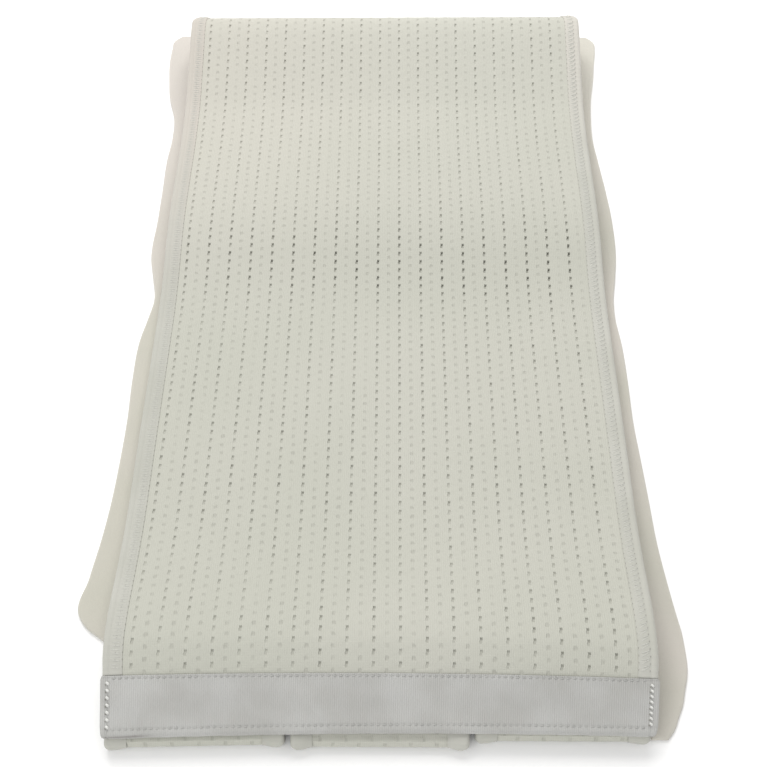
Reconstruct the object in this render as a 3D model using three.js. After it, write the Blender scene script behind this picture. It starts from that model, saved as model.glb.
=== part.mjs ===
// Abdominal binder, folded flat as it is stored.
// A wide perforated elastic band lies in two layers over a soft landing panel. Its near end is bound
// with grosgrain tape, and below that the band is slit into three tabs that fold under the stack.
// Millimetres, +X to the wearer's right of the fold, +Y away from the bound end, +Z up.
import * as THREE from 'three';

// Driving dimensions, in millimetres
const bandWidth = 229;
const elasticThickness = 1.6;
const bindingWidth = 8.4;
const bindingCloth = 0.5;
const tapeLength = 24;
const tapeCloth = 0.7;
const tapeOverWidth = 1.2;
const panelOverhang = 16.7;
const panelLength = 463;
const panelThickness = 2;
const panelEdgeRound = 0.6;
const panelEndBeyondFold = 24.5;
const runLength = 440;
const tabReach = 137;
const slitDepth = 66;
const slitWidth = 1.4;
const loft = 10;
const clearance = 0.3;
const bandOffset = 0.5;
const stationSpacing = 9;
const foldSteps = 12;
const noseSteps = 8;
const lipSteps = 2;

// Sizes that follow from them
const bindingThickness = elasticThickness + 2 * (clearance + bindingCloth);
const tapeThickness = elasticThickness + 2 * (clearance + tapeCloth);
const slopeAllowance = 1.09;
const layerPitch = ((tapeThickness + bindingThickness) / 2 + clearance) * slopeAllowance;
const noseRadius = layerPitch / 2;
const lowestRun = bindingThickness / 2 + clearance;
const endOverhang = 1.6;

// Stations along the folded stack, from the nose of the tabs to the far fold. Columns: along is a
// share of runLength, panel and tabs say how far the layers ride on the landing panel and on the
// tabs, lower and upper are the loose lift of the second and the top layer, in shares of loft.
const foldTable = [
  { along: 0.000, panel: 0.0, tabs: 1.0, lower: 0.00, upper: 0.01 },
  { along: 0.016, panel: 0.0, tabs: 1.0, lower: 0.25, upper: 0.01 },
  { along: 0.029, panel: 0.0, tabs: 1.0, lower: 0.48, upper: 0.02 },
  { along: 0.045, panel: 0.2, tabs: 1.0, lower: 0.71, upper: 0.02 },
  { along: 0.061, panel: 1.0, tabs: 1.0, lower: 0.83, upper: 0.07 },
  { along: 0.075, panel: 1.0, tabs: 1.0, lower: 1.01, upper: 0.11 },
  { along: 0.095, panel: 1.0, tabs: 1.0, lower: 1.10, upper: 0.06 },
  { along: 0.118, panel: 1.0, tabs: 1.0, lower: 1.00, upper: 0.02 },
  { along: 0.143, panel: 1.0, tabs: 1.0, lower: 0.76, upper: 0.02 },
  { along: 0.170, panel: 1.0, tabs: 1.0, lower: 0.50, upper: 0.03 },
  { along: 0.195, panel: 1.0, tabs: 1.0, lower: 0.29, upper: 0.03 },
  { along: 0.222, panel: 1.0, tabs: 1.0, lower: 0.14, upper: 0.03 },
  { along: 0.261, panel: 1.0, tabs: 1.0, lower: 0.04, upper: 0.03 },
  { along: 0.315, panel: 1.0, tabs: 1.0, lower: 0.00, upper: 0.01 },
  { along: 0.354, panel: 1.0, tabs: 0.4, lower: 0.05, upper: 0.13 },
  { along: 0.411, panel: 1.0, tabs: 0.0, lower: 0.10, upper: 0.13 },
  { along: 0.470, panel: 1.0, tabs: 0.0, lower: 0.04, upper: 0.08 },
  { along: 0.534, panel: 1.0, tabs: 0.0, lower: 0.01, upper: 0.03 },
  { along: 0.563, panel: 1.0, tabs: 0.0, lower: 0.04, upper: 0.08 },
  { along: 0.593, panel: 1.0, tabs: 0.0, lower: 0.13, upper: 0.19 },
  { along: 0.620, panel: 1.0, tabs: 0.0, lower: 0.23, upper: 0.32 },
  { along: 0.650, panel: 1.0, tabs: 0.0, lower: 0.31, upper: 0.39 },
  { along: 0.684, panel: 1.0, tabs: 0.0, lower: 0.33, upper: 0.40 },
  { along: 0.722, panel: 1.0, tabs: 0.0, lower: 0.29, upper: 0.36 },
  { along: 0.761, panel: 1.0, tabs: 0.0, lower: 0.22, upper: 0.32 },
  { along: 0.802, panel: 1.0, tabs: 0.0, lower: 0.16, upper: 0.30 },
  { along: 0.838, panel: 1.0, tabs: 0.0, lower: 0.13, upper: 0.35 },
  { along: 0.875, panel: 1.0, tabs: 0.0, lower: 0.10, upper: 0.53 },
  { along: 0.908, panel: 1.0, tabs: 0.0, lower: 0.06, upper: 0.94 },
  { along: 0.938, panel: 1.0, tabs: 0.0, lower: 0.03, upper: 1.41 },
  { along: 0.970, panel: 1.0, tabs: 0.0, lower: 0.00, upper: 1.94 },
  { along: 0.986, panel: 1.0, tabs: 0.0, lower: 0.00, upper: 2.16 },
  { along: 1.000, panel: 1.0, tabs: 0.0, lower: 0.00, upper: 2.27 },
];

// Outline of the landing panel, from its near end to its far end. Columns: along is a share of
// panelLength, left and right are how far it shows beside the band, in shares of panelOverhang.
const panelTable = [
  { along: 0.095, left: 0.29, right: 1.00 },
  { along: 0.108, left: 0.76, right: 0.98 },
  { along: 0.120, left: 1.00, right: 0.93 },
  { along: 0.163, left: 0.90, right: 0.78 },
  { along: 0.206, left: 0.74, right: 0.66 },
  { along: 0.254, left: 0.62, right: 0.60 },
  { along: 0.304, left: 0.56, right: 0.53 },
  { along: 0.355, left: 0.53, right: 0.46 },
  { along: 0.409, left: 0.56, right: 0.46 },
  { along: 0.465, left: 0.51, right: 0.42 },
  { along: 0.496, left: 0.36, right: 0.34 },
  { along: 0.526, left: 0.25, right: 0.36 },
  { along: 0.556, left: 0.38, right: 0.48 },
  { along: 0.588, left: 0.54, right: 0.60 },
  { along: 0.652, left: 0.52, right: 0.65 },
  { along: 0.700, left: 0.51, right: 0.58 },
  { along: 0.757, left: 0.51, right: 0.45 },
  { along: 0.794, left: 0.44, right: 0.37 },
  { along: 0.832, left: 0.48, right: 0.40 },
  { along: 0.871, left: 0.73, right: 0.49 },
  { along: 0.910, left: 0.87, right: 0.66 },
  { along: 0.951, left: 0.95, right: 0.80 },
  { along: 0.973, left: 0.93, right: 0.88 },
  { along: 0.990, left: 0.87, right: 0.85 },
];

// The near right corner of the landing panel, which swings round beside the tabs
const cornerTable = [
  { along: 0.002, right: 0.28 },
  { along: 0.011, right: 0.47 },
  { along: 0.023, right: 0.62 },
  { along: 0.034, right: 0.76 },
  { along: 0.046, right: 0.85 },
  { along: 0.062, right: 0.97 },
];
const farCornerShare = 0.6;
const panelFrontSetback = 28;
const panelCornerInset = 4;

// The three tabs, from left to right. Columns: share is the tab's part of the band's width.
const tabTable = [
  { name: 'left', share: 0.332 },
  { name: 'middle', share: 0.341 },
  { name: 'right', share: 0.327 },
];

// Places along Y: the object is centred on its overall length
const frontToRun = noseRadius + bindingThickness / 2;
const foldTop = lowestRun + panelThickness + layerPitch + loft * foldTable.at(-1).upper;
const farRadius = (foldTop - lowestRun - panelThickness) / 2;
const overallLength = frontToRun + runLength + panelEndBeyondFold;
const runStart = -overallLength / 2 + frontToRun;
const panelFar = overallLength / 2;

function column(name) {
  // A smooth curve through one column of the fold table
  const places = foldTable.map((row) => row.along);
  const values = foldTable.map((row) => row[name]);
  const curve = new THREE.CubicInterpolant(places, values, 1, new Float32Array(1));
  return (share) => curve.evaluate(Math.min(Math.max(share, 0), 1))[0];
}

const onPanel = column('panel');
const onTabs = column('tabs');
const lowerLift = column('lower');
const upperLift = column('upper');

// Height of the middle of each layer's cloth at a share of the run
function bottomHeight(share) {
  return lowestRun + panelThickness * onPanel(share);
}

function secondHeight(share) {
  return bottomHeight(share) + layerPitch * onTabs(share) + loft * lowerLift(share);
}

function topHeight(share) {
  return secondHeight(share) + layerPitch + loft * upperLift(share);
}

function run(height, fromShare, toShare) {
  // Points of one layer, in the side plane, between two shares of the run
  const count = Math.max(2, Math.round(Math.abs(toShare - fromShare) * runLength / stationSpacing));
  const points = [];
  for (let i = 0; i <= count; i += 1) {
    const share = fromShare + (toShare - fromShare) * i / count;
    points.push(new THREE.Vector2(runStart + share * runLength, height(share)));
  }
  return points;
}

function turn(centreY, centreZ, radius, fromAngle, toAngle, steps) {
  // Points inside a fold's arc, without its two ends
  const points = [];
  for (let i = 1; i < steps; i += 1) {
    const angle = fromAngle + (toAngle - fromAngle) * i / steps;
    points.push(new THREE.Vector2(centreY + radius * Math.cos(angle), centreZ + radius * Math.sin(angle)));
  }
  return points;
}

function lengthen(points, amount) {
  // Adds a straight stretch before the first point
  const direction = points[0].clone().sub(points[1]).normalize();
  return [points[0].clone().addScaledVector(direction, amount), ...points];
}

function cut(points, from, to) {
  // The stretch of a path between two distances from its start
  const result = [];
  let walked = 0;
  for (let i = 1; i < points.length; i += 1) {
    const step = points[i].distanceTo(points[i - 1]);
    const at = (distance) => points[i - 1].clone().lerp(points[i], (distance - walked) / step);
    if (from >= walked && from < walked + step) {
      result.push(at(from));
    }
    if (walked + step > from && walked + step < to) {
      result.push(points[i].clone());
    }
    if (to > walked && to <= walked + step) {
      result.push(at(to));
    }
    walked += step;
  }
  return result;
}

function pathLength(points) {
  return points.slice(1).reduce((sum, point, i) => sum + point.distanceTo(points[i]), 0);
}

function normals(points) {
  // Unit normals of a path in the side plane, on its left
  return points.map((point, i) => {
    const before = points[Math.max(i - 1, 0)];
    const after = points[Math.min(i + 1, points.length - 1)];
    const tangent = after.clone().sub(before).normalize();
    return new THREE.Vector2(-tangent.y, tangent.x);
  });
}

function offset(points, distance) {
  const sides = normals(points);
  return points.map((point, i) => point.clone().addScaledVector(sides[i], distance));
}

function extrudeAcross(outline, left, right) {
  // Carries an outline in the side plane across the object from left to right
  const geometry = new THREE.ExtrudeGeometry(new THREE.Shape(outline), {
    depth: right - left, bevelEnabled: false,
  });
  const toSidePlane = new THREE.Matrix4().set(0, 0, 1, left, 1, 0, 0, 0, 0, 1, 0, 0, 0, 0, 0, 1);
  return geometry.applyMatrix4(toSidePlane);
}

function ribbon(points, thickness, left, right) {
  // A cloth of even thickness that follows a path
  const upper = offset(points, thickness / 2);
  const lower = offset(points, -thickness / 2).reverse();
  return extrudeAcross([...upper, ...lower], left, right);
}

class SidePath extends THREE.Curve {
  // A path in the side plane at one place across, whose steps fall on the path's own points
  constructor(points, across) {
    super();
    this.points = points.map((point) => new THREE.Vector3(across, point.x, point.y));
    this.sides = normals(points);
  }

  getPointAt(u, target = new THREE.Vector3()) {
    return target.copy(this.points[Math.round(u * (this.points.length - 1))]);
  }

  getTangentAt(u, target = new THREE.Vector3()) {
    const side = this.sides[Math.round(u * (this.sides.length - 1))];
    return target.set(0, side.y, -side.x);
  }
}

function bindingSection(side) {
  // A folded strip, open towards the cloth: its outer lip is round and the cloth enters its slot.
  // The section's x runs against the object's X, so side is -1 for an edge at the right.
  const half = bindingThickness / 2;
  const slot = elasticThickness / 2 + clearance;
  const lip = half;
  const slotEnd = bindingCloth;
  const shape = new THREE.Shape();
  shape.moveTo(side * bindingWidth, half);
  shape.lineTo(side * lip, half);
  shape.absarc(side * lip, 0, lip, Math.PI / 2, side > 0 ? 3 * Math.PI / 2 : -Math.PI / 2, side < 0);
  shape.lineTo(side * bindingWidth, -half);
  shape.lineTo(side * bindingWidth, -slot);
  shape.lineTo(side * (slotEnd + lip / 2), -slot);
  shape.lineTo(side * (slotEnd + lip / 2), slot);
  shape.lineTo(side * bindingWidth, slot);
  shape.closePath();
  return shape;
}
const clothInset = bindingCloth + bindingThickness / 4 + clearance;

function binding(points, edge, side) {
  // side is 1 where the cloth lies at lower X than the edge
  return new THREE.ExtrudeGeometry(bindingSection(side), {
    steps: points.length - 1, extrudePath: new SidePath(points, edge), curveSegments: lipSteps,
  });
}

function material(name, colour, roughness) {
  return new THREE.MeshStandardMaterial({ name, color: colour, roughness, metalness: 0 });
}

const elasticCloth = material('perforated_elastic', 0xdcdccf, 0.85);
const bindingTape = material('binding', 0xd5d6cb, 0.8);
const grosgrain = material('grosgrain', 0xbdbdb8, 0.65);
const brushedCloth = material('brushed_cloth', 0xd6d1ca, 0.95);

function named(name, geometry, finish) {
  const mesh = new THREE.Mesh(geometry, finish);
  mesh.name = name;
  return mesh;
}

const bandLeft = -bandWidth / 2;
const bandRight = bandWidth / 2;

// The band's own path: out along the top layer, round the far fold, and back to the slits
const slitShare = slitDepth / runLength;
const bandPath = lengthen([
  ...run(topHeight, 0, 1),
  ...turn(runStart + runLength, (foldTop + lowestRun + panelThickness) / 2, farRadius,
    Math.PI / 2, -Math.PI / 2, foldSteps),
  ...run(secondHeight, 1, slitShare),
], endOverhang);
const bandLength = pathLength(bandPath);

function bodyPanel() {
  return ribbon(bandPath, elasticThickness, bandLeft + clothInset, bandRight - clothInset);
}

function sideBinding(edge, side) {
  // Runs from behind the end tape to the slits
  return binding(cut(bandPath, tapeLength + clearance, bandLength), edge, side);
}

function endTape() {
  // Grosgrain folded over the near end of the band, with the band in its slot
  const covered = cut(bandPath, 0, tapeLength);
  const outer = lengthen(covered, clearance + tapeCloth);
  const inner = lengthen(covered, clearance);
  const nose = [
    offset(outer, -tapeThickness / 2 + tapeCloth / 2)[0],
    offset(outer, tapeThickness / 2 - tapeCloth / 2)[0],
  ];
  const outline = [
    ...nose,
    ...offset(outer, tapeThickness / 2).slice(1),
    ...offset(inner, tapeThickness / 2 - tapeCloth).reverse(),
    ...offset(inner, -tapeThickness / 2 + tapeCloth),
    ...offset(outer, -tapeThickness / 2).slice(1).reverse(),
  ];
  return extrudeAcross(outline, bandLeft - tapeOverWidth / 2, bandRight + tapeOverWidth / 2);
}

// The tabs' path: forward over the hump, round the nose and back under the stack
const tabGap = clearance / runLength;
const tabPath = [
  ...run(secondHeight, slitShare - tabGap, 0),
  ...turn(runStart, lowestRun + noseRadius, noseRadius, Math.PI / 2, 3 * Math.PI / 2, noseSteps),
  ...run(bottomHeight, 0, tabReach / runLength),
];

function tabPieces() {
  // Each tab is a strip of the elastic with a binding along both of its long edges
  const pieces = [];
  let left = bandLeft;
  tabTable.forEach((tab, i) => {
    const right = left + bandWidth * tab.share;
    const from = left + (i > 0 ? slitWidth / 2 : 0);
    const to = right - (i < tabTable.length - 1 ? slitWidth / 2 : 0);
    pieces.push(
      named(`tab_${tab.name}`,
        ribbon(tabPath, elasticThickness, from + clothInset, to - clothInset), elasticCloth),
      named(`tab_${tab.name}_left_binding`, binding(tabPath, from, -1), bindingTape),
      named(`tab_${tab.name}_right_binding`, binding(tabPath, to, 1), bindingTape),
    );
    left = right;
  });
  return pieces;
}

function landingPanel() {
  // A soft flat panel, wider than the band, with the wavy edge of a cloth that has been pulled about
  const near = panelFar - panelLength;
  const place = (side, share, along) => new THREE.Vector2(
    side * (bandWidth / 2 + panelOverhang * share), near + along * panelLength,
  );
  const rightSide = [...cornerTable, ...panelTable].map((row) => place(1, row.right, row.along));
  const leftSide = panelTable.map((row) => place(-1, row.left, row.along)).reverse();
  const frontLine = runStart + panelFrontSetback;
  const underRight = new THREE.Vector2(bandRight + bandOffset - panelCornerInset, frontLine);
  const underLeft = new THREE.Vector2(bandLeft + bandOffset + panelCornerInset, frontLine);
  const beside = new THREE.Vector2(bandRight + bandOffset + 3 * clearance, frontLine - panelCornerInset / 4);
  const shape = new THREE.Shape([
    ...new THREE.SplineCurve(rightSide).getPoints(2 * rightSide.length),
    place(1, farCornerShare, 1), place(-1, farCornerShare, 1),
    ...new THREE.SplineCurve(leftSide).getPoints(2 * leftSide.length),
    underLeft, underRight, beside,
  ]);
  return new THREE.ExtrudeGeometry(shape, {
    depth: panelThickness - 2 * panelEdgeRound, bevelEnabled: true, bevelThickness: panelEdgeRound,
    bevelSize: panelEdgeRound, bevelOffset: -panelEdgeRound, bevelSegments: 1,
  }).translate(0, 0, panelEdgeRound);
}

const band = new THREE.Group();
band.position.x = bandOffset;
band.add(named('body_panel', bodyPanel(), elasticCloth));
band.add(named('side_binding_left', sideBinding(bandLeft, -1), bindingTape));
band.add(named('side_binding_right', sideBinding(bandRight, 1), bindingTape));
band.add(named('end_tape', endTape(), grosgrain));
band.add(...tabPieces());

const binder = new THREE.Group();
binder.add(band, named('landing_panel', landingPanel(), brushedCloth));

export default binder;
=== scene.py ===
import math

import bpy
import numpy as np
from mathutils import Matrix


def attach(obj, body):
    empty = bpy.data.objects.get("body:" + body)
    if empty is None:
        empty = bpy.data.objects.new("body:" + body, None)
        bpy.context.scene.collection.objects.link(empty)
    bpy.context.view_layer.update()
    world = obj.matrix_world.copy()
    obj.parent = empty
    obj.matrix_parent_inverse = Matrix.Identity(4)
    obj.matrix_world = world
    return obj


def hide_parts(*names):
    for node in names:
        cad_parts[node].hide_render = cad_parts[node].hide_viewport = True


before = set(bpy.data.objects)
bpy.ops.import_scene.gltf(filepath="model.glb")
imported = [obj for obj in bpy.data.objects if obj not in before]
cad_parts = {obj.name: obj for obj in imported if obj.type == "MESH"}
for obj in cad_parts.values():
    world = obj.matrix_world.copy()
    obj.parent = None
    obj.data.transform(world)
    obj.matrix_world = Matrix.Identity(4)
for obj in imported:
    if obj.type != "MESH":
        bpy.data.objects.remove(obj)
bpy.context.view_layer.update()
MM = 0.001


# Camera and studio
# The photo looks down the length of the folded binder from its taped end, steeply and close by.
# A white table and a wide soft light keep the pale cloth almost free of shadows.
camera_place = (3.2 * MM, -477.5 * MM, 540.8 * MM)
camera_down = math.radians(51.06)
camera_yaw = math.radians(0.296)
focal_length = 65.7
sensor_width = 36.0
camera_data = bpy.data.cameras.new("photo_camera")
camera_data.lens = focal_length
camera_data.sensor_width = sensor_width
camera_data.clip_start = 0.01
camera = bpy.data.objects.new("photo_camera", camera_data)
camera.location = camera_place
camera.rotation_euler = (math.pi / 2 - camera_down, 0, camera_yaw)
bpy.context.scene.collection.objects.link(camera)
bpy.context.scene.camera = camera
bpy.context.scene.view_settings.view_transform = "Standard"


def area_light(name, place, target, size, power, colour):
    """A square soft light at a place, turned towards a target."""
    data = bpy.data.lights.new(name, "AREA")
    data.shape = "SQUARE"
    data.size = size
    data.energy = power
    data.color = colour
    light = bpy.data.objects.new(name, data)
    aim = np.array(target, float) - np.array(place, float)
    aim /= np.linalg.norm(aim)
    light.location = place
    light.rotation_euler = (math.acos(-aim[2]), 0, math.atan2(aim[1], aim[0]) - math.pi / 2)
    bpy.context.scene.collection.objects.link(light)


area_light("window_panel", (-0.1, 0.95, 1.22), (0, 0.05, 0), 1.3, 21, (1.0, 0.99, 0.97))
area_light("front_panel", (-0.4, -1.1, 0.8), (0, -0.1, 0), 1.2, 7.5, (1.0, 1.0, 1.0))
world = bpy.data.worlds.new("white_room")
world.use_nodes = True
world.node_tree.nodes["Background"].inputs["Color"].default_value = (1, 1, 1, 1)
world.node_tree.nodes["Background"].inputs["Strength"].default_value = 0.6
bpy.context.scene.world = world


# Shader helper
# Arithmetic on a Value adds Math nodes; Graph.node adds any other node.
class Value:
    """One output socket of a shader graph, with Python's arithmetic."""

    def __init__(self, graph, socket):
        self.graph = graph
        self.socket = socket

    def math(self, operation, *others, first=None):
        values = (self, *others) if first is None else (first, self)
        return self.graph.node("ShaderNodeMath", {"operation": operation}, dict(enumerate(values)))

    def __add__(self, other):
        return self.math("ADD", other)

    __radd__ = __add__

    def __mul__(self, other):
        return self.math("MULTIPLY", other)

    __rmul__ = __mul__

    def __sub__(self, other):
        return self.math("SUBTRACT", other)

    def __rsub__(self, other):
        return self.math("SUBTRACT", first=other)

    def wave(self, period):
        """Runs smoothly from 0 to 1 and back once in each period."""
        return (self * (2 * math.pi / period)).math("COSINE") * 0.5 + 0.5

    def step(self, low, high):
        """Rises smoothly from 0 at low to 1 at high."""
        return self.graph.node("ShaderNodeMapRange", {"interpolation_type": "SMOOTHSTEP"},
                               {"Value": self, "From Min": low, "From Max": high})


class Graph:
    """A material under construction, ending in a Principled BSDF."""

    def __init__(self, name, **constants):
        self.material = bpy.data.materials.new(name)
        self.material.use_nodes = True
        self.tree = self.material.node_tree
        self.shader = self.tree.nodes["Principled BSDF"]
        for socket, value in constants.items():
            self.shader.inputs[socket.replace("_", " ")].default_value = value

    def node(self, kind, settings=None, inputs=None, output=0):
        """Adds a node, sets it up, fills its inputs, and gives one of its outputs."""
        node = self.tree.nodes.new(kind)
        for key, value in (settings or {}).items():
            setattr(node, key, value)
        for key, value in (inputs or {}).items():
            if isinstance(value, Value):
                self.tree.links.new(value.socket, node.inputs[key])
            else:
                node.inputs[key].default_value = value
        return Value(self, node.outputs[output])

    def cloth_place(self):
        """Millimetres across and along the cloth, and both as a vector, from its own UV map."""
        uv = self.node("ShaderNodeUVMap", {"uv_map": "cloth"})
        return *self.parts(uv), uv

    def parts(self, vector):
        """The first two parts of a vector."""
        x = self.node("ShaderNodeSeparateXYZ", inputs={0: vector})
        return x, Value(self, x.socket.node.outputs[1])

    def noise(self, vector, scale, detail=2.0):
        return self.node("ShaderNodeTexNoise", {"noise_dimensions": "3D"},
                         {"Vector": vector, "Scale": scale, "Detail": detail})

    def painted_far_light_and_rosy_corner(self, base, pale, rosy):
        """A base colour with painted light that makes it paler along the binder's far end, and a rosy tint
        in its far left corner.
        """
        x, y = self.parts(self.object_place())
        paler = self.mix(y.step(0.1, 0.2), base, pale)
        return self.mix(x.step(0.06, -0.11) * y.step(-0.03, 0.17) * 0.8, paler, rosy)

    def object_place(self):
        return self.node("ShaderNodeTexCoord", output=3)

    def mix(self, factor, first, second):
        """A colour from first, at factor 0, to second, at factor 1."""
        node = self.tree.nodes.new("ShaderNodeMix")
        node.data_type = "RGBA"
        for key, value in ((0, factor), (6, first), (7, second)):
            if isinstance(value, Value):
                self.tree.links.new(value.socket, node.inputs[key])
            else:
                node.inputs[key].default_value = value
        return Value(self, node.outputs[2])

    def finish(self, colour, height=None, depth=0.1 * MM):
        """Feeds the shader's colour, and a bump of a height from 0 to 1."""
        self.tree.links.new(colour.socket, self.shader.inputs["Base Color"])
        if height is not None:
            bump = self.node("ShaderNodeBump", inputs={"Height": height, "Distance": depth})
            self.tree.links.new(bump.socket, self.shader.inputs["Normal"])
        return self.material


floor_graph = Graph("pale_table", Roughness=0.9)
floor_material = floor_graph.finish(floor_graph.mix(
    floor_graph.noise(floor_graph.object_place(), 6.0), (0.93, 0.93, 0.93, 1), (0.95, 0.95, 0.95, 1)))
floor_half = 4.0
floor_mesh = bpy.data.meshes.new("table_top")
floor_mesh.from_pydata([(-floor_half, -floor_half, 0), (floor_half, -floor_half, 0),
                        (floor_half, floor_half, 0), (-floor_half, floor_half, 0)], [], [(0, 1, 2, 3)])
floor_mesh.materials.append(floor_material)
floor = bpy.data.objects.new("table_top", floor_mesh)
bpy.context.scene.collection.objects.link(floor)


# The fold
# The binder is folded once at the far end, and its tabs are folded under at the near end. Each layer
# follows the one below, with the loose lift that the photo shows. Heights are of the cloth's middle.
run_length = 440.0
panel_thickness = 2.0
elastic_thickness = 1.6
layer_pitch = 4.033
lowest_run = 1.9
loft = 10.0
run_start = -230.44
slit_depth = 66.0
tab_reach = 137.0
tab_overlap = 0.3
end_overhang = 1.6
# Columns: share of the run, on the panel, on the tabs, lift of the second layer, lift of the top one
fold_table = np.array([
    (0.000, 0.0, 1.0, 0.00, 0.01),
    (0.016, 0.0, 1.0, 0.25, 0.01),
    (0.029, 0.0, 1.0, 0.48, 0.02),
    (0.045, 0.2, 1.0, 0.71, 0.02),
    (0.061, 1.0, 1.0, 0.83, 0.07),
    (0.075, 1.0, 1.0, 1.01, 0.11),
    (0.095, 1.0, 1.0, 1.10, 0.06),
    (0.118, 1.0, 1.0, 1.00, 0.02),
    (0.143, 1.0, 1.0, 0.76, 0.02),
    (0.170, 1.0, 1.0, 0.50, 0.03),
    (0.195, 1.0, 1.0, 0.29, 0.03),
    (0.222, 1.0, 1.0, 0.14, 0.03),
    (0.261, 1.0, 1.0, 0.04, 0.03),
    (0.315, 1.0, 1.0, 0.00, 0.01),
    (0.354, 1.0, 0.4, 0.05, 0.13),
    (0.411, 1.0, 0.0, 0.10, 0.13),
    (0.470, 1.0, 0.0, 0.04, 0.08),
    (0.534, 1.0, 0.0, 0.01, 0.03),
    (0.563, 1.0, 0.0, 0.04, 0.08),
    (0.593, 1.0, 0.0, 0.13, 0.19),
    (0.620, 1.0, 0.0, 0.23, 0.32),
    (0.650, 1.0, 0.0, 0.31, 0.39),
    (0.684, 1.0, 0.0, 0.33, 0.40),
    (0.722, 1.0, 0.0, 0.29, 0.36),
    (0.761, 1.0, 0.0, 0.22, 0.32),
    (0.802, 1.0, 0.0, 0.16, 0.30),
    (0.838, 1.0, 0.0, 0.13, 0.35),
    (0.875, 1.0, 0.0, 0.10, 0.53),
    (0.908, 1.0, 0.0, 0.06, 0.94),
    (0.938, 1.0, 0.0, 0.03, 1.41),
    (0.970, 1.0, 0.0, 0.00, 1.94),
    (0.986, 1.0, 0.0, 0.00, 2.16),
    (1.000, 1.0, 0.0, 0.00, 2.27),
])


def smooth_curve(places, values, at):
    """Cubic pieces through the values, each with the slope of its neighbours at its two ends."""
    slopes = np.gradient(values, places)
    index = np.clip(np.searchsorted(places, at) - 1, 0, len(places) - 2)
    width = places[index + 1] - places[index]
    t = np.clip((at - places[index]) / width, 0, 1)
    return (values[index] * (1 + 2 * t) * (1 - t) ** 2 + slopes[index] * width * t * (1 - t) ** 2
            + values[index + 1] * t ** 2 * (3 - 2 * t) - slopes[index + 1] * width * t ** 2 * (1 - t))


def layer_height(share, layer):
    """Height of the bottom, second or top layer, 0 to 2, as the sum of what lies below and its lift."""
    column = [smooth_curve(fold_table[:, 0], fold_table[:, i], share) for i in range(1, 5)]
    height = lowest_run + panel_thickness * column[0]
    if layer > 0:
        height = height + layer_pitch * column[1] + loft * column[2]
    if layer > 1:
        height = height + layer_pitch + loft * column[3]
    return height


class Path:
    """A line in the side plane, in millimetres, read by the distance walked along it."""

    def __init__(self, points):
        self.points = np.array(points, float)
        steps = np.linalg.norm(np.diff(self.points, axis=0), axis=1)
        self.walked = np.concatenate([[0], np.cumsum(steps)])
        self.length = self.walked[-1]
        tangents = np.gradient(self.points, self.walked, axis=0)
        tangents /= np.linalg.norm(tangents, axis=1)[:, None]
        self.sides = np.stack([-tangents[:, 1], tangents[:, 0]], axis=1)

    def place(self, distance):
        """Point and unit normal, on the left of the way walked, at each distance."""
        point = [np.interp(distance, self.walked, self.points[:, i]) for i in (0, 1)]
        side = np.stack([np.interp(distance, self.walked, self.sides[:, i]) for i in (0, 1)], axis=-1)
        side /= np.linalg.norm(side, axis=-1)[..., None]
        return np.stack(point, axis=-1), side


def layer_points(layer, start, end, spacing=0.5):
    share = np.linspace(start, end, int(abs(end - start) * run_length / spacing) + 2)
    return np.stack([run_start + share * run_length, layer_height(share, layer)], axis=1)


def arc_points(centre, radius, start, end, count=60):
    angle = np.linspace(start, end, count + 2)[1:-1]
    return np.stack([centre[0] + radius * np.cos(angle), centre[1] + radius * np.sin(angle)], axis=1)


def with_tail(points, amount):
    """Adds a straight stretch before the first point."""
    direction = points[0] - points[1]
    return np.vstack([points[0] + direction / np.linalg.norm(direction) * amount, points])


run_end = run_start + run_length
fold_low = float(layer_height(np.array([1.0]), 1)[0])
fold_high = float(layer_height(np.array([1.0]), 2)[0])
band_path = Path(with_tail(np.vstack([
    layer_points(2, 0, 1),
    arc_points((run_end, (fold_low + fold_high) / 2), (fold_high - fold_low) / 2, math.pi / 2, -math.pi / 2),
    layer_points(1, 1, slit_depth / run_length),
]), end_overhang))
nose_radius = layer_pitch / 2
tab_path = Path(np.vstack([
    layer_points(1, (slit_depth - tab_overlap) / run_length, 0),
    arc_points((run_start, lowest_run + nose_radius), nose_radius, math.pi / 2, 1.5 * math.pi),
    layer_points(0, 0, tab_reach / run_length),
]))


# The pulls of the worn cloth
# A used binder doesn't lie quite square: its ends are drawn in, bowed and skewed by a few millimetres.
# Each pull fades out at its own reach from the near end, the far fold or a side.
binding_half = 1.6
half_across = 115.0
far_corner_round = 5.5
far_corner_reach = 29.0
far_sink = 0.8
far_sink_reach = 60.0
upper_from = 8.0
upper_fade = 10.0
near_narrowing = 0.0161
near_shift = 0.35
drawn_reach = 28.0
near_back = 1.95
near_skew = 1.3
skewed_reach = 22.0
bowed_reach = 60.0
tab_drawn_reach = 70.0
tab_back_reach = 25.0
tab_narrowing = 0.45
foot_round = 1.9
foot_round_reach = 14.0
table_clearance = 0.05
# How far the tabs' folds are drawn sideways. Columns: place across, amount
tab_draw = np.array([(-115, 1.6), (-38, 0.75), (40, -1.9), (115, -3.5)])


def seen_height(points):
    """How high points of the side plane, y and z, stand in the photo's own upright direction."""
    return np.asarray(points) @ (math.sin(camera_down), math.cos(camera_down))


far_top = seen_height(band_path.points).max() + binding_half
near_low = seen_height(tab_path.points).min() - binding_half


def near_fade(y, reach):
    """1 at the near end, falling to 0 at the reach behind it."""
    return np.clip((run_start + reach - y) / reach, 0, 1)


def side_fade(distance, edge, reach):
    """1 at an edge's distance from the middle, falling to 0 at the reach inside it."""
    return np.clip((distance - edge + reach) / reach, 0, 1)


def corner_inset(depth, radius):
    """How far a round corner of a radius lies inside a square one, at a depth from its tip."""
    rest = np.clip(radius - depth, 0, radius)
    return radius - np.sqrt(radius ** 2 - rest ** 2)


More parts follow.
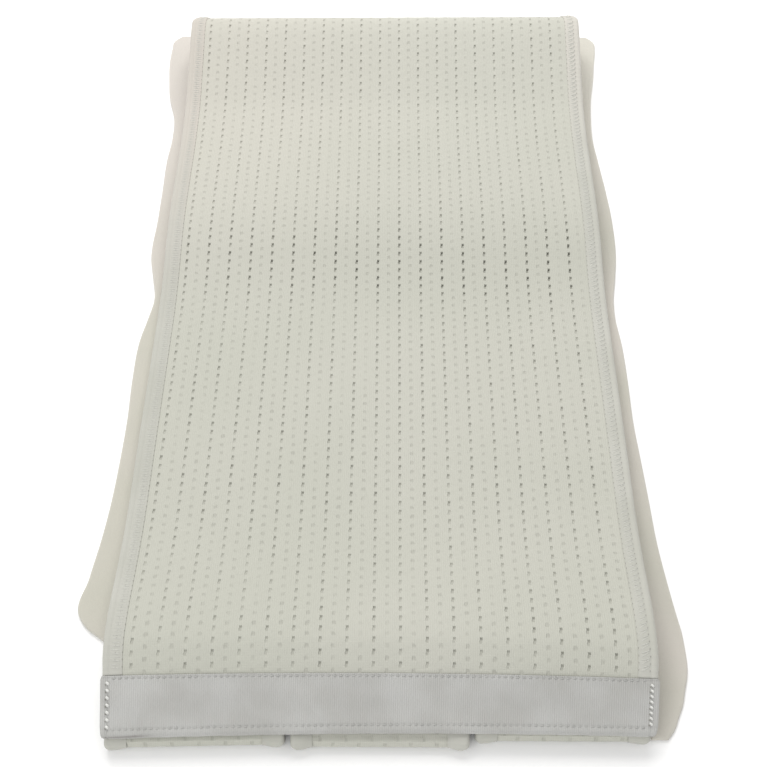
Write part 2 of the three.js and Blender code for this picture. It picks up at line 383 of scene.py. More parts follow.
def settle(points):
    """Small pulls of the worn band that the photo shows. Its near end is drawn in at both sides, bowed
    back in the middle, and further back at the right. The far fold sinks a little towards the left, and
    has two round corners."""
    x, y, z = np.asarray(points, float).T
    depth = far_top - seen_height(np.stack([y, z], axis=1))
    edge = side_fade(np.abs(x), half_across - 1, far_corner_reach) ** 2
    upper_end = side_fade(y, run_end, far_sink_reach) ** 2 * np.clip((z - upper_from) / upper_fade, 0, 1)
    z = z + (x / half_across - far_sink) * upper_end
    x = x - np.sign(x) * edge * corner_inset(depth, far_corner_round)
    right = x / half_across
    bow = (1 - 2 * right ** 2 - 0.2 * right) * np.minimum(2 * near_fade(y, bowed_reach), 1)
    back = (near_back + near_skew * right) * near_fade(y, skewed_reach) + bow
    drawn = (near_narrowing * x + near_shift) * near_fade(y, drawn_reach)
    return np.stack([x - drawn, y + back, z], axis=1)


def settle_tab(points, middle, half_width, back):
    """The same for a tab, whose fold lies back by an amount at each end, is drawn in, and has round
    corners. The table presses flat what would reach below it."""
    x, y, z = np.asarray(points, float).T
    depth = seen_height(np.stack([y, z], axis=1)) - near_low
    edge = side_fade(np.abs(x - middle), half_width, foot_round_reach) ** 4
    x = x - np.sign(x - middle) * edge * corner_inset(depth, foot_round)
    across = (x - middle) / half_width
    back = (back[0] + back[1]) / 2 + (back[1] - back[0]) / 2 * across
    draw = np.interp(x, *tab_draw.T) - tab_narrowing * across
    return np.stack([x + draw * near_fade(y, tab_drawn_reach), y + back * near_fade(y, tab_back_reach) ** 2,
                     np.maximum(z, table_clearance)], axis=1)


# The perforated elastic band
# A knitted elastic cloth of cream white yarn, with eyelets left open in rows along its length and
# fainter dimples between them. It is one cloth from the taped end round the far fold to the slits.
band_width = 229.0
band_offset = 0.5
cloth_inset = 1.6
row_pitch = 11.1
row_middle = -2.8
row_reach = 9
eyelet_pitch = 5.1
eyelet_depth = 1.15
first_eyelet = 27.6
last_eyelet = 490.0
band_start = 2.0
pillow = 0.12
eyelet_numbers = np.arange(-40, 220)
eyelet_spread = (0.76, 1.14)


def piece(name, vertices, faces, material, nodes, uv=None, attributes=None, sharp_over=None):
    """Makes a mesh object from points in millimetres, hangs it on the root body, and hides the parts of
    model.glb that it stands for.
    """
    mesh = bpy.data.meshes.new(name)
    mesh.from_pydata(np.asarray(vertices, float) * MM, [], faces)
    mesh.materials.append(material)
    mesh.shade_smooth()
    if uv is not None:
        layer = mesh.uv_layers.new(name="cloth")
        corners = np.empty(len(mesh.loops), np.int32)
        mesh.loops.foreach_get("vertex_index", corners)
        layer.data.foreach_set("uv", np.asarray(uv, np.float32)[corners].ravel())
    for key, values in (attributes or {}).items():
        mesh.attributes.new(key, "FLOAT", "POINT").data.foreach_set("value", np.asarray(values, np.float32))
    if sharp_over is not None:
        mesh.set_sharp_from_angle(angle=math.radians(sharp_over))
    made = bpy.data.objects.new(name, mesh)
    bpy.context.scene.collection.objects.link(made)
    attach(made, "root")
    if nodes:
        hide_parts(*nodes)
    return made


def grid_faces(rows, columns, first=0, flip=False):
    """Quads of a grid of points that are numbered row by row."""
    i, j = np.meshgrid(np.arange(rows - 1), np.arange(columns - 1), indexing="ij")
    corner = (first + i * columns + j).ravel()
    quads = np.stack([corner, corner + 1, corner + columns + 1, corner + columns], axis=1)
    return quads[:, ::-1] if flip else quads


def cloth_uv(across, stations):
    """Millimetres across and along, for a grid of points that are numbered row by row."""
    return np.stack(np.broadcast_arrays(across[None, :], stations[:, None]), axis=-1).reshape(-1, 2)


def folded_cloth(path, stations, across, inner_across, thickness, side, relief, shift=0.0):
    """A closed cloth along a path: point plus side times half the thickness and a relief outwards, and
    a shift across. Its back is a plain grid, and walls join the two along all four edges."""
    point, normal = path.place(stations)
    rows, columns, inner_columns = len(stations), len(across), len(inner_across)

    def layer(xs, lift):
        lift = np.broadcast_to(lift, (rows, len(xs)))
        yz = point[:, None, :] + normal[:, None, :] * (side * lift)[:, :, None]
        x = np.broadcast_to(xs + band_offset, (rows, len(xs)))
        return np.concatenate([x[:, :, None], yz], axis=2)

    front = layer(across, thickness / 2 + relief)
    back = layer(inner_across, np.full((rows, inner_columns), -thickness / 2))
    front[..., 0] += shift
    vertices = np.vstack([front.reshape(-1, 3), back.reshape(-1, 3)])
    flip = side < 0
    first = rows * columns
    faces = grid_faces(rows, columns, 0, flip).tolist()
    faces += grid_faces(rows, inner_columns, first, not flip).tolist()
    left = np.arange(rows) * columns
    right = left + columns - 1
    back_left = first + np.arange(rows) * inner_columns
    back_right = back_left + inner_columns - 1
    walls = [np.stack([left[:-1], left[1:], back_left[1:], back_left[:-1]], axis=1),
             np.stack([right[1:], right[:-1], back_right[:-1], back_right[1:]], axis=1)]
    near = list(range(columns))[::-1] + list(range(first, first + inner_columns))
    last = (rows - 1) * columns
    back_last = first + (rows - 1) * inner_columns
    far = list(range(last, last + columns)) + list(range(back_last, back_last + inner_columns))[::-1]
    for wall in walls:
        faces += (wall[:, ::-1] if flip else wall).tolist()
    faces += [end[::-1] if flip else end for end in (near, far)]
    return vertices, faces, np.vstack([cloth_uv(across, stations), cloth_uv(inner_across, stations)])


# Places across one eyelet row and along one eyelet, from its middle: rim, floor, floor, rim
eyelet_across = np.array([-0.62, -0.36, 0.36, 0.62])
eyelet_floor_across = np.array([0, 1, 1, 0])
eyelet_along = np.array([-1.4, -1.1, -0.4, 0.0, 0.4, 1.1, 1.4])
eyelet_floor_along = np.array([0, 0.66, 0.7, 0.55, 1, 1, 0])
eyelet_lean = np.array([-0.04, -0.1, -0.14, 0.0, 0.14, 0.1, 0.04])


def merged(places, *values):
    """Sorts the places and carries their values along."""
    order = np.argsort(places)
    return (places[order], *(value[order] for value in values))


def eyelet_columns(left, right):
    """Places across a cloth with the eyelet rows' rims and floors, and one place between two rows.
    Each comes with its share of a floor and of a pillow."""
    rows = row_middle + row_pitch * np.arange(-row_reach, row_reach + 1)
    rows = rows[(rows > left + 1) & (rows < right - 1)]
    places = (rows[:, None] + eyelet_across).ravel()
    floor = np.tile(eyelet_floor_across, len(rows))
    between = rows[:-1] + row_pitch / 2
    return merged(np.concatenate([places, between, [left, right]]),
                  np.concatenate([floor, np.zeros(len(between) + 2)]),
                  np.concatenate([np.zeros(len(places)), np.ones(len(between)), np.zeros(2)]))


def eyelet_stations(start, end, ranges):
    """Distances along a cloth: each eyelet's rims and floors inside the ranges, coarse steps outside.
    Each comes with its share of a floor and its lean."""
    centres = first_eyelet + eyelet_pitch * eyelet_numbers
    inside = np.zeros(len(centres), bool)
    for low, high in ranges:
        inside |= (centres > low + 2) & (centres < high - 2)
    fine = (centres[inside][:, None] + eyelet_along).ravel()
    floor = np.tile(eyelet_floor_along, int(inside.sum()))
    lean = np.tile(eyelet_lean, int(inside.sum()))
    coarse = centres[~inside] + eyelet_pitch / 2
    coarse = coarse[(coarse > start + 1) & (coarse < end - 1)]
    places, floor, lean = merged(np.concatenate([fine, coarse, [start, end]]),
                                 np.concatenate([floor, np.zeros(len(coarse) + 2)]),
                                 np.concatenate([lean, np.zeros(len(coarse) + 2)]))
    keep = (places >= start) & (places <= end)
    return places[keep], floor[keep], lean[keep]


# How open the eyelets look along the top layer, both in their depth and in how dark their painted shade is.
# Columns: distance from the near end, openness
open_table = np.array([
    (25, 0.58), (50, 0.58), (61, 0.54), (74, 0.54), (104, 0.55), (118, 0.64), (132, 0.61), (147, 0.61),
    (205, 0.61), (221, 0.56), (234, 0.56), (243, 0.6), (251, 0.81), (262, 0.92), (272, 0.9), (286, 0.78),
    (301, 0.58), (318, 0.53), (360, 0.52), (376, 0.5), (405, 0.58), (440, 0.57), (470, 0.5), (900, 0.5)])
# How much wider they look towards the right side. Columns: distance from the near end, share
open_right = np.array([(60, 0.12), (110, 0), (190, 0), (212, 0.13), (285, 0.13), (300, 0)])


def elastic(name, path, start, end, ranges, left, right, side, nodes, seed, settled, held_open=1.0):
    """The elastic cloth: pits at the eyelets, each with a thread across, and soft pillows between."""
    across, across_floor, across_between = eyelet_columns(left, right)
    stations, along_floor, lean = eyelet_stations(start, end, ranges)
    openness = held_open * np.interp(stations, *open_table.T)
    uneven = np.random.default_rng(seed)
    cell = np.round((stations - first_eyelet) / eyelet_pitch).astype(int)
    row = np.round((across - row_middle) / row_pitch).astype(int)
    spread = uneven.uniform(*eyelet_spread, (cell.max() - cell.min() + 1, row.max() - row.min() + 1))
    more_right = 1 + np.interp(stations, *open_right.T)[:, None] * across / (band_width / 2)
    strength = spread[cell - cell.min()][:, row - row.min()] * openness[:, None] * more_right
    pit = along_floor[:, None] * across_floor[None, :] * strength
    relief = pillow * across_between[None, :] - eyelet_depth * np.minimum(0.45 * pit + 0.55 * pit ** 2, 1.1)
    inner_across = np.linspace(left, right, 5)
    in_row = (np.abs(np.abs(across - row_middle - row_pitch * row)) < 1)[None, :]
    vertices, faces, uv = folded_cloth(path, stations, across, inner_across, elastic_thickness, side, relief,
                                       lean[:, None] * in_row)
    # Each pit's share, kept as the eyelet attribute, which the shader turns into painted shade.
    shade = np.concatenate([pit.ravel(), np.zeros(len(stations) * len(inner_across))])
    return piece(name, settled(vertices), faces, elastic_material, nodes, uv=uv,
                 attributes={"eyelet": shade}, sharp_over=32)


def elastic_finish():
    """Cream yarn in fine ribs along the cloth, with painted shade in the eyelets and in the fainter dimples
    between them.
    """
    graph = Graph("knitted_elastic", Roughness=0.88, Sheen_Weight=0.12, Specular_IOR_Level=0.25)
    across, along, uv = graph.cloth_place()
    eyelet = graph.node("ShaderNodeAttribute", {"attribute_name": "eyelet"}, output=2)
    place = graph.object_place()
    ribs = across.wave(row_pitch / 12)
    courses = along.wave(eyelet_pitch / 5)
    grain = graph.noise(graph.node("ShaderNodeVectorMath", {"operation": "MULTIPLY"},
                                   {0: uv, 1: (2.4, 0.55, 1.0)}), 1.0, 3.0)
    yarn = graph.noise(uv, 1.5, 3.0)
    wander = (graph.noise(uv, 0.35) - 0.5) * 1.6
    row = (across + wander - (row_middle + row_pitch / 2)).wave(row_pitch).step(0.93, 0.995)
    spot = (along + wander - (first_eyelet + eyelet_pitch / 2)).wave(eyelet_pitch).step(0.5, 1.0)
    patchy = graph.noise(place, 45.0).step(0.3, 0.6)
    dimple = row * spot * (0.4 + 0.6 * patchy)
    patches = graph.noise(place, 9.0).step(0.3, 0.7)
    patched = graph.mix(patches, (0.44, 0.444, 0.387, 1), (0.474, 0.471, 0.419, 1))
    # Paler along the far end with painted light, rosy in the far left corner.
    cream = graph.painted_far_light_and_rosy_corner(patched, (0.525, 0.522, 0.465, 1), (0.545, 0.52, 0.465, 1))
    yarned = graph.mix(grain * 0.7 + ribs * 0.3, (0.42, 0.42, 0.366, 1), (0.575, 0.575, 0.516, 1))
    cloth = graph.mix(0.4, cream, yarned)
    # Painted shade in the fainter dimples between the eyelet rows.
    dimple_shaded = graph.mix(dimple * 0.3, cloth, (0.25, 0.245, 0.21, 1))
    # Painted shade in the eyelets, darker where the pits are deeper.
    shadow = eyelet.math("MINIMUM", 1.0).math("POWER", 1.25) * 0.58
    dark = graph.mix(shadow, dimple_shaded, (0.12, 0.115, 0.1, 1))
    height = ribs * 0.4 + courses * 0.12 + grain * 0.8 + yarn * 0.4 - dimple * 1.3
    return graph.finish(dark, height, 0.16 * MM)


elastic_material = elastic_finish()
half_cloth = band_width / 2 - cloth_inset
tape_length = 24.0
band = elastic("elastic_band", band_path, band_start, band_path.length, [(tape_length, last_eyelet)],
               -half_cloth, half_cloth, 1, ["body_panel"], 11, settle)


# The side bindings
# A narrow strip of the same colour folded over each long edge of the band and overlocked. A line of
# needle holes marks its inner edge, and slanted threads cross it.
groove_depth = 0.24


def binding_section(grooved):
    """Closed outline of the folded strip: in from the lip over the top, the lip, the underside, the slot.
    Columns are the distance in from the outer edge and the height from the cloth's middle. The long
    side strips have a groove where their stitches end, beside the round lip."""
    lip = np.linspace(math.pi / 2, 1.5 * math.pi, 9)
    lip_points = np.stack([binding_half * (1 + np.cos(lip)), binding_half * np.sin(lip)], axis=1)
    groove = groove_depth if grooved else 0.0
    top = np.array([(8.4, 0.86), (8.38, 1.04), (8.1, 1.2), (7.8, 1.12), (7.4, 1.3), (6.4, 1.42), (4.6, 1.46),
                    (3.5, 1.5 - groove / 2), (3.1, 1.5 - groove), (2.7, 1.54 - groove / 2), (2.2, 1.59)])
    under = top[::-1] * (1, -1)
    slot = np.array([(1.5, -0.86), (1.5, 0.86)])
    return np.vstack([top, lip_points, under, slot])


def carried_section(path, stations, section, edge, inward, swell, foot):
    """A closed outline carried along a path, with flat ends: across = edge plus inward times distance.
    Heights are times swell, and foot adds a share to those below the cloth's middle, near the lip."""
    point, normal = path.place(stations)
    count = len(section)
    at_foot = np.where(section[:, 1] < 0, np.clip((7.8 - section[:, 0]) / 3, 0, 1), 0)[None, :]
    lift = section[:, 1][None, :] * swell * (1 + foot * at_foot)
    x = np.broadcast_to(edge + band_offset + inward * section[:, 0], lift.shape)
    yz = point[:, None, :] + normal[:, None, :] * lift[:, :, None]
    vertices = np.concatenate([x[:, :, None], yz], axis=2).reshape(-1, 3)
    i, j = np.meshgrid(np.arange(len(stations) - 1), np.arange(count), indexing="ij")
    a = i * count + j
    b = i * count + (j + 1) % count
    quads = np.stack([a.ravel(), b.ravel(), (b + count).ravel(), (a + count).ravel()], axis=1)
    ends = [list(range(count))[::-1], list(range((len(stations) - 1) * count, len(stations) * count))]
    if inward > 0:
        quads = quads[:, ::-1]
        ends = [end[::-1] for end in ends]
    around = np.concatenate([[0], np.cumsum(np.linalg.norm(np.diff(section, axis=0), axis=1))])
    return vertices, quads.tolist() + ends, cloth_uv(around, stations)


def binding_finish():
    """Fine cross ribs and a soft mottle in a paler, greyer yarn than the band's."""
    graph = Graph("binding_strip", Roughness=0.8, Sheen_Weight=0.15, Specular_IOR_Level=0.3)
    _, along, uv = graph.cloth_place()
    ribs = along.wave(0.9)
    yarn = graph.noise(uv, 2.2, 3.0)
    mottle = graph.noise(graph.object_place(), 30.0).step(0.3, 0.7)
    base = graph.mix(mottle, (0.44, 0.441, 0.392, 1), (0.485, 0.483, 0.438, 1))
    # Paler along the far end with painted light, rosy in the far left corner.
    far_lit_tinted = graph.painted_far_light_and_rosy_corner(base, (0.575, 0.555, 0.505, 1), (0.54, 0.5, 0.45, 1))
    colour = graph.mix(ribs * 0.06 + yarn * 0.22, far_lit_tinted, (0.36, 0.355, 0.325, 1))
    return graph.finish(colour, ribs * 0.15 + yarn * 0.8, 0.1 * MM)


binding_material = binding_finish()
overlock_pitch = 2.9
stitch_pull = 0.035
tab_strip_stretch = 1.13
foot_reach = 5.5


def side_binding(name, path, start, edge, inward, node, settled, nose=None, foot_size=0.0):
    """One strip. Stitches pull it in at each pitch. At a tab's nose, where it lies a little wider, it
    stands out as a foot: foot size times exp(-(distance / foot reach)^2)."""
    section = binding_section(nose is None) * (1 if nose is None else tab_strip_stretch, 1)
    stations = np.arange(start, path.length, overlock_pitch / 4)
    swell = 1 - stitch_pull * (1 + np.cos(2 * math.pi * stations / overlock_pitch))
    foot = foot_size * np.exp(-((stations - (nose or 0)) / foot_reach) ** 2)
    vertices, faces, uv = carried_section(path, stations, section, edge, inward, swell[:, None],
                                          foot[:, None])
    made = piece(name, settled(vertices), faces, binding_material, [node], uv=uv)


strip_start = tape_length + 0.2
side_binding("side_strip_left", band_path, strip_start, -band_width / 2, 1, "side_binding_left", settle)
side_binding("side_strip_right", band_path, strip_start, band_width / 2, -1, "side_binding_right", settle)


def thread_finish(name, colour):
    """A sewing thread, also used for the painted shade of needle holes: a fine grain, from a darker shade to
    its own colour, and a little gloss.
    """
    graph = Graph(name, Roughness=0.6, Sheen_Weight=0.1)
    grain = graph.noise(graph.object_place(), 900.0)
    darker = tuple(0.8 * part for part in colour)
    return graph.finish(graph.mix(grain, (*darker, 1), (*colour, 1)), grain, 0.05 * MM)


def stitches(name, starts, ends, normals, radius, arch, sink, material):
    """Short threads, each a bowed tube of five rings: from start to end, lifted by arch times a half
    sine along the cloth's normal, with both ends sunk into the cloth."""
    t = np.linspace(0, 1, 5)
    sides = 5
    starts, ends, normals = (np.asarray(a, float) for a in (starts, ends, normals))
    reach = ends - starts
    across = np.cross(reach / np.linalg.norm(reach, axis=1)[:, None], normals)
    across /= np.linalg.norm(across, axis=1)[:, None]
    half_sine = np.sin(math.pi * t)
    rise = arch * half_sine - sink * (1 - half_sine)
    middle = (starts[:, None, :] + reach[:, None, :] * t[None, :, None]
              + normals[:, None, :] * rise[None, :, None])
    angle = 2 * math.pi * np.arange(sides) / sides
    width = radius * (0.75 + 0.25 * half_sine)
    ring = (across[:, None, None, :] * np.cos(angle)[None, None, :, None]
            + normals[:, None, None, :] * np.sin(angle)[None, None, :, None]) * width[None, :, None, None]
    vertices = (middle[:, :, None, :] + ring).reshape(-1, 3)
    i, j = np.meshgrid(np.arange(len(t) - 1), np.arange(sides), indexing="ij")
    a = (i * sides + j).ravel()
    b = (i * sides + (j + 1) % sides).ravel()
    quads = np.stack([a, b, b + sides, a + sides], axis=1)
    per = len(t) * sides
    offsets = per * np.arange(len(starts))
    faces = (quads[None, :, :] + offsets[:, None, None]).reshape(-1, 4).tolist()
    first_cap = offsets[:, None] + np.arange(sides)[::-1]
    last_cap = offsets[:, None] + (per - sides) + np.arange(sides)
    faces += np.vstack([first_cap, last_cap]).tolist()
    piece(name, vertices, faces, material, None)


def on_cloth(path, across, along, lift, side=1):
    """Points and normals at places across and along a folded cloth, lifted off its middle."""
    point, normal = path.place(along)
    across = np.broadcast_to(across, np.shape(along))
    lift = np.broadcast_to(lift, np.shape(along))
    points = np.stack([across + band_offset, point[:, 0] + side * normal[:, 0] * lift,
                       point[:, 1] + side * normal[:, 1] * lift], axis=1)
    normals = np.stack([np.zeros(len(along)), side * normal[:, 0], side * normal[:, 1]], axis=1)
    return points, normals


strip_thread = thread_finish("strip_thread", (0.56, 0.56, 0.515))
# These two colour the painted shade of the needle holes.
needle_hole_shade = thread_finish("needle_line", (0.27, 0.26, 0.23))
pale_needle_hole_shade = thread_finish("pale_needle_line", (0.38, 0.37, 0.34))
# Distances in from the strip's outer edge to both ends of an overlock thread, and to the needle holes
overlock_from = 7.2
overlock_to = 3.7
needle_line = 8.2


def edge_stitching(name, edge, inward, lean, back_lean, holes_inside):
    """Overlock over the strip: a thread out and a thread back in each pitch, each with its own lean.
    Short dark threads paint the shade of the needle holes, at the strip's inner edge and along its middle."""
    along = np.arange(tape_length + 3, band_path.length - 3, overlock_pitch)
    for part, start, leaning in (("out", 0.0, lean), ("back", overlock_pitch / 2, back_lean)):
        starts, normals = on_cloth(band_path, edge + inward * overlock_from, along + start, 1.3)
        ends, _ = on_cloth(band_path, edge + inward * overlock_to, along + start + leaning, 1.36)
        stitches(f"{name}_overlock_{part}", settle(starts), settle(ends), normals, 0.24, 0.06, 0.14,
                 strip_thread)
    for part, inside, height, gap, thread in (("line", needle_line, 1.0, 1.25, needle_hole_shade),
                                              ("middle", holes_inside, 1.42, 0.75, pale_needle_hole_shade)):
        starts, normals = on_cloth(band_path, edge + inward * inside, along, height)
        ends, _ = on_cloth(band_path, edge + inward * inside, along + gap, height)
        stitches(f"{name}_needle_{part}", settle(starts), settle(ends), normals, 0.17, 0.08, 0.12,
                 thread)


edge_stitching("side_strip_left", -band_width / 2, 1, 0.35, 0.1, 5.4)
edge_stitching("side_strip_right", band_width / 2, -1, 2.1, 1.2, 3.6)


# The end tape
# Light grey grosgrain, folded over the near end of the band. Its fine ribs run along the binder. It is
# lockstitched near both of its edges, and a short bar of zigzag closes each end.
tape_cloth = 0.7
tape_half = 1.8
tape_end = band_width / 2 + 0.6
rib_pitch = 0.9
stitch_pitch = 2.6


def tape_route():
    """Middle line of the tape's cloth: forward over the top, round the nose, and back underneath."""
    lift = tape_half - tape_cloth / 2
    distance = np.linspace(0, tape_length, 80)
    point, normal = band_path.place(distance)
    top = (point + normal * lift)[::-1]
    under = point - normal * lift
    tangent = np.array([normal[0][1], -normal[0][0]])
    angle = np.linspace(0, math.pi, 26)[1:-1]
    nose = point[0] + lift * (np.cos(angle)[:, None] * normal[0] - np.sin(angle)[:, None] * tangent)
    return Path(np.vstack([top, nose, under]))


tape_path = tape_route()
tape_top_line = 1.1
tape_low_line = tape_length - 1.7
bar_place = tape_end - 3.0


def tape_crease(across, along):
    """Where the lip has folded on itself by the left corner: 1 along a short slanted line, else 0."""
    return (np.exp(-((along - tape_length - 1.5 + 0.028 * (across + 112)) / 0.5) ** 2)
            * np.clip((-92 - across) / 8, 0, 1) * np.clip((across + tape_end - 0.5) / 1.5, 0, 1))


def tape_relief(across, along):
    """Ribs, the dips that the stitches pull, a crease by the left corner, slow and quick ripples, and
    pinched ends."""
    ribs = 0.035 * np.cos(2 * math.pi * across / rib_pitch)
    beat = 0.5 + 0.5 * np.cos(2 * math.pi * across / stitch_pitch)
    lines = sum(np.exp(-((along - line) / 0.55) ** 2) for line in (tape_top_line, tape_low_line))
    bars = sum(np.exp(-((across - side * bar_place) / 0.8) ** 2) for side in (-1, 1))
    slow = np.sin(across / 7.0 + along / 4.0) * np.sin(across / 23.0 + 1.0)
    slow = slow * np.sin(math.pi * along / 25) ** 2
    quick = np.sin(across / 2.9 - along / 2.3 + 2 * np.sin(across / 13.0))
    pinch = side_fade(np.abs(across), tape_end, 1.6) ** 2
    return (ribs - (0.1 + 0.14 * beat) * lines - 0.3 * bars - 0.5 * tape_crease(across, along)
            + 0.12 * slow + 0.07 * quick - 0.32 * pinch)


def tape_corner(across, along):
    """Draws the tape's two ends in at the corners, so that each is rounded in plan."""
    near_edge = np.clip(1 - along / 1.8, 0, 1) ** 2
    near_nose = np.clip(1 - np.abs(along - tape_length - 3.2) / 7, 0, 1) ** 2
    last = side_fade(np.abs(across), tape_end, 4)
    return -np.sign(across) * last * (0.7 * near_edge + (1.9 + 0.4 * np.sign(across)) * near_nose)


def tape_finish():
    """Grey weave with ribs along the binder, a painted highlight on their crests, mottled and flecked by
    wear, and painted shade in the crease.
    """
    graph = Graph("grosgrain", Roughness=0.72, Sheen_Weight=0.2, Specular_IOR_Level=0.35)
    across, along, uv = graph.cloth_place()
    place = graph.object_place()
    ribs = across.wave(rib_pitch)
    weft = along.wave(0.45)
    worn = graph.noise(place, 55.0, 3.0).step(0.3, 0.72)
    base = graph.mix(worn, (0.366, 0.363, 0.345, 1), (0.418, 0.418, 0.404, 1))
    # Painted highlight: the rib crests lighter, more so in patches.
    highlight_patches = graph.noise(place, 20.0).step(0.4, 0.7)
    rib_highlighted = graph.mix(ribs * (0.1 + 0.3 * highlight_patches) + weft * 0.04, base, (0.60, 0.60, 0.58, 1))
    crease = graph.node("ShaderNodeAttribute", {"attribute_name": "crease"}, output=2)
    flecked = graph.mix(graph.noise(uv, 1.6, 4.0).step(0.45, 0.75) * 0.35, rib_highlighted, (0.33, 0.33, 0.31, 1))
    # Painted shade in the crease.
    crease_shaded = graph.mix(crease * 0.6, flecked, (0.12, 0.10, 0.09, 1))
    return graph.finish(crease_shaded, ribs * 0.6 + weft * 0.2 + graph.noise(uv, 1.1) * 0.6, 0.12 * MM)


tape_material = tape_finish()
tape_across = np.linspace(-tape_end, tape_end, int(2 * tape_end / rib_pitch) * 4 + 1)
tape_stations = np.unique(np.concatenate([
    np.linspace(0, tape_path.length, 44), np.linspace(0, 2.4, 7),
    np.linspace(tape_low_line - 1.2, tape_length + 5, 16)]))
tape_vertices, tape_faces, tape_uv = folded_cloth(
    tape_path, tape_stations, tape_across, tape_across[::10], tape_cloth, -1,
    tape_relief(tape_across[None, :], tape_stations[:, None]))
tape_vertices[:, 0] += tape_corner(*tape_uv.T)
# The crease's mask, kept for its painted shade.
tape_crease_shade = tape_crease(tape_across[None, :], tape_stations[:, None]).ravel()
tape_crease_shade = np.concatenate([tape_crease_shade, np.zeros(len(tape_vertices) - len(tape_crease_shade))])
tape = piece("grosgrain_tape", settle(tape_vertices), tape_faces, tape_material,
             ["end_tape"], uv=tape_uv, attributes={"crease": tape_crease_shade})

tape_thread = thread_finish("tape_thread", (0.46, 0.46, 0.44))
bar_thread = thread_finish("bar_thread", (0.74, 0.74, 0.71))


def tape_line(name, along):
    """One lockstitch line across the tape."""
    across = np.arange(-tape_end + 4.2, tape_end - 5.5, stitch_pitch)
    lift = tape_cloth / 2 - 0.05
    starts, normals = on_cloth(tape_path, across + 0.35, np.full(len(across), along), lift, -1)
    ends, _ = on_cloth(tape_path, across + 2.1, np.full(len(across), along), lift, -1)
    stitches(name, settle(starts), settle(ends), normals, 0.19, 0.08, 0.16, tape_thread)


tape_line("tape_far_stitches", tape_top_line)
tape_line("tape_near_stitches", tape_low_line)


def end_bar(name, side, bar_pitch):
    """A bar of zigzag: short bright threads in fat loops, with short dark threads between them that paint
    the shade of needle holes.
    """
    along = np.arange(2.6, tape_length - 2.2, bar_pitch)
    middle = side * bar_place
    lift = tape_cloth / 2 - 0.14
    starts, normals = on_cloth(tape_path, middle - 0.6, along, lift, -1)
    ends, _ = on_cloth(tape_path, middle + 0.7, along + 1.1, lift, -1)
    stitches(name, settle(starts), settle(ends), normals, 0.21 * bar_pitch, 0.26, 0.05, bar_thread)
    starts, normals = on_cloth(tape_path, middle - 1.15, along + 0.8, lift, -1)
    ends, _ = on_cloth(tape_path, middle - 0.55, along + 1.5, lift, -1)
    stitches(name + "_holes", settle(starts), settle(ends), normals, 0.22, 0.1, 0.1, needle_hole_shade)


end_bar("tape_bar_left", -1, 3.0)
end_bar("tape_bar_right", 1, 2.5)


# The three tabs
# The band is slit at its near end into three tabs, which fold under the stack. Each is the same elastic
# with a folded strip along both of its long edges, and the strips stand out as feet at the fold.
slit_width = 1.4
tab_eyelet_reach = 26.0
# Columns: tab, its share of the width, how far its fold lies back at its left and right end, how much
# its feet stand out, how open its eyelets look
tab_table = (("left", 0.332, (-1.5, 0.4), 0.35, 0.6),
             ("middle", 0.341, (-0.6, -0.6), 0.55, 0.6),
             ("right", 0.327, (2.3, 2.2), 0.3, 0.5))
nose_at = tab_path.walked[np.argmin(tab_path.points[:, 0])]
tab_left_edge = -band_width / 2
for tab_index, (tab_name, tab_share, tab_back, tab_foot, tab_open) in enumerate(tab_table):
    tab_right_edge = tab_left_edge + band_width * tab_share
    tab_from = tab_left_edge + (slit_width / 2 if tab_index > 0 else 0)
    tab_to = tab_right_edge - (slit_width / 2 if tab_index < 2 else 0)

    def settled(points, middle=(tab_from + tab_to) / 2, half_width=(tab_to - tab_from) / 2, back=tab_back):
        return settle_tab(points, middle, half_width, back)

    tab = elastic(f"elastic_tab_{tab_name}", tab_path, 0.0, tab_path.length,
                  [(nose_at - tab_eyelet_reach, nose_at + tab_eyelet_reach)],
                  tab_from + cloth_inset, tab_to - cloth_inset, -1, [f"tab_{tab_name}"], 30 + tab_index,
                  settled, tab_open)
    (tab_to - tab_from - 2 * cloth_inset) * MM
    for edge_name, tab_edge, tab_inward in (("left", tab_from, 1), ("right", tab_to, -1)):
        side_binding(f"tab_{tab_name}_{edge_name}_strip", tab_path, 0.0, tab_edge, tab_inward,
                     f"tab_{tab_name}_{edge_name}_binding", settled, nose_at, tab_foot)
    tab_left_edge = tab_right_edge


# The landing panel
# A soft brushed cloth, pale beige, that lies flat under the band and shows on both of its sides. Its
# long edges have been pulled into slow waves, and its corners are cut round.
panel_length = 463.0
panel_overhang = 16.7
panel_far = 234.06
panel_near = panel_far - panel_length
# Columns: share of the panel's length, how far it shows at the left and right, in shares of the overhang
panel_table = np.array([
    (0.095, 0.29, 1.00),
    (0.108, 0.76, 0.98),
    (0.120, 1.00, 0.93),
    (0.163, 0.90, 0.78),
    (0.206, 0.74, 0.66),
    (0.254, 0.62, 0.60),
    (0.304, 0.56, 0.53),
    (0.355, 0.53, 0.46),
    (0.409, 0.56, 0.46),
    (0.465, 0.51, 0.42),
    (0.496, 0.36, 0.34),
    (0.526, 0.25, 0.36),
    (0.556, 0.38, 0.48),
    (0.588, 0.54, 0.60),
    (0.652, 0.52, 0.65),
    (0.700, 0.51, 0.58),
    (0.757, 0.51, 0.45),
    (0.794, 0.44, 0.37),
    (0.832, 0.48, 0.40),
    (0.871, 0.73, 0.49),
    (0.910, 0.87, 0.66),
    (0.951, 0.95, 0.80),
    (0.973, 0.93, 0.88),
    (0.990, 0.87, 0.85),
])
# The near right corner. Columns: share of the panel's length, how far it shows
corner_table = np.array([(0.002, 0.28), (0.011, 0.47), (0.023, 0.62), (0.034, 0.76), (0.046, 0.85),
                         (0.062, 0.97)])
far_corner_share = 0.6
panel_front_setback = 28.0
panel_corner_inset = 4.0
panel_rim = 1.1
